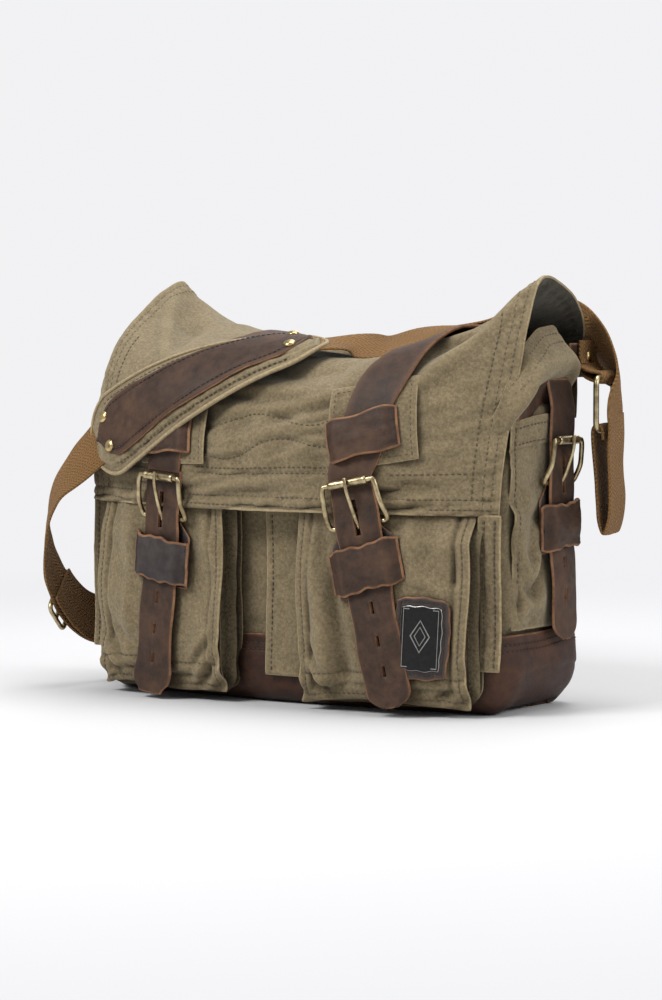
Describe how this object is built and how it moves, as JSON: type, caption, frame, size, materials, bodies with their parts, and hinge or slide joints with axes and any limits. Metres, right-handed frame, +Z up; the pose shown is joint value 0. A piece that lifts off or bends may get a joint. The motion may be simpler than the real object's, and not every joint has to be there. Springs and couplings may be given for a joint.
{
  "type": "messenger bag",
  "caption": "Canvas messenger bag with a lift-over flap, buckled leather straps, front bellows pockets, side pockets and a padded shoulder strap.",
  "frame": {"origin": "middle of the leather base's flat underside, between the two side walls", "axes": "+Z up, the bag's front faces -Y, +X to the right when looking along +Y"},
  "size_m": [0.42, 0.189, 0.2989],
  "materials": {
    "canvas": "washed khaki canvas",
    "leather": "waxed dark brown leather with raw edges",
    "webbing": "ribbed tan cotton webbing",
    "antique_brass": "antique",
    "lining": "plain dark cotton",
    "board": "matt",
    "dark_plate": "satin black"
  },
  "bodies": {
    "bag": {"bag_shell": "canvas", "lining": "lining", "base_leather": "leather", "base_board": "board", "front_pocket_left": "canvas", "front_pocket_right": "canvas", "label_patch": "leather", "label_plate": "dark_plate", "snap_socket_left": "antique_brass", "snap_socket_right": "antique_brass", "side_pocket_left": "canvas", "side_strap_left": "leather", "side_chape_left": "leather", "side_keeper_left": "leather", "side_buckle_left": "antique_brass", "strap_anchor_left": "leather", "strap_rivet_left": "antique_brass", "side_pocket_right": "canvas", "side_strap_right": "leather", "side_chape_right": "leather", "side_keeper_right": "leather", "side_buckle_right": "antique_brass", "strap_anchor_right": "leather", "strap_rivet_right": "antique_brass"},
    "flap": {"flap": "canvas", "upper_strap_left": "leather", "upper_strap_right": "leather", "flap_keeper_left": "leather", "flap_keeper_right": "leather"},
    "shoulder_strap": {"shoulder_tab_left": "leather", "shoulder_tab_right": "leather", "strap_ring_left": "antique_brass", "strap_ring_right": "antique_brass", "webbing_left": "webbing", "webbing_right": "webbing", "strap_adjuster": "antique_brass", "shoulder_pad": "canvas", "pad_leather": "leather", "pad_rivet_1": "antique_brass", "pad_rivet_2": "antique_brass", "pad_rivet_3": "antique_brass", "pad_rivet_4": "antique_brass"},
    "buckle_strap_left": {"strap_tail_left": "leather", "front_chape_left": "leather", "front_keeper_left": "leather", "front_buckle_left": "antique_brass"},
    "front_prong_left": {"front_prong_left": "antique_brass"},
    "front_roller_left": {"front_roller_left": "antique_brass"},
    "buckle_strap_right": {"strap_tail_right": "leather", "front_chape_right": "leather", "front_keeper_right": "leather", "front_buckle_right": "antique_brass"},
    "front_prong_right": {"front_prong_right": "antique_brass"},
    "front_roller_right": {"front_roller_right": "antique_brass"},
    "side_prong_left": {"side_prong_left": "antique_brass"},
    "side_roller_left": {"side_roller_left": "antique_brass"},
    "side_prong_right": {"side_prong_right": "antique_brass"},
    "side_roller_right": {"side_roller_right": "antique_brass"}
  },
  "joints": [
    {"name": "flap_hinge", "type": "hinge", "parent": "bag", "child": "flap", "pos_m": [0, 0.0665, 0.2475], "axis": [-1, 0, 0], "range_deg": [0, 120]},
    {"name": "shoulder_strap_lift", "type": "hinge", "parent": "flap", "child": "shoulder_strap", "pos_m": [0, 0.0665, 0.2475], "axis": [-1, 0, 0], "range_deg": [0, 45]},
    {"name": "buckle_lift_left", "type": "hinge", "parent": "flap", "child": "buckle_strap_left", "pos_m": [-0.08613, -0.086, 0.166], "axis": [-0.9844, 0.1621, 0.0689], "range_deg": [0, 60]},
    {"name": "front_prong_left", "type": "hinge", "parent": "buckle_strap_left", "child": "front_prong_left", "pos_m": [-0.08791, -0.08236, 0.132], "axis": [0.9844, -0.1621, -0.0689], "range_deg": [0, 70]},
    {"name": "front_roller_left", "type": "hinge", "parent": "buckle_strap_left", "child": "front_roller_left", "pos_m": [-0.08714, -0.09039, 0.16193], "axis": [0.9844, -0.1621, -0.0689], "continuous": true},
    {"name": "buckle_lift_right", "type": "hinge", "parent": "flap", "child": "buckle_strap_right", "pos_m": [0.07418, -0.08781, 0.16339], "axis": [-0.9702, -0.1451, -0.194], "range_deg": [0, 60]},
    {"name": "front_prong_right", "type": "hinge", "parent": "buckle_strap_right", "child": "front_prong_right", "pos_m": [0.07983, -0.08363, 0.132], "axis": [0.9702, 0.1451, 0.194], "range_deg": [0, 70]},
    {"name": "front_roller_right", "type": "hinge", "parent": "buckle_strap_right", "child": "front_roller_right", "pos_m": [0.07523, -0.09221, 0.16143], "axis": [0.9702, 0.1451, 0.194], "continuous": true},
    {"name": "side_prong_left", "type": "hinge", "parent": "bag", "child": "side_prong_left", "pos_m": [-0.1782, 0.022, 0.16], "axis": [0, -1, 0], "range_deg": [0, 70]},
    {"name": "side_roller_left", "type": "hinge", "parent": "bag", "child": "side_roller_left", "pos_m": [-0.186, 0.022, 0.19], "axis": [0, -1, 0], "continuous": true},
    {"name": "side_prong_right", "type": "hinge", "parent": "bag", "child": "side_prong_right", "pos_m": [0.1782, 0.022, 0.16], "axis": [0, 1, 0], "range_deg": [0, 70]},
    {"name": "side_roller_right", "type": "hinge", "parent": "bag", "child": "side_roller_right", "pos_m": [0.186, 0.022, 0.19], "axis": [0, 1, 0], "continuous": true}
  ]
}
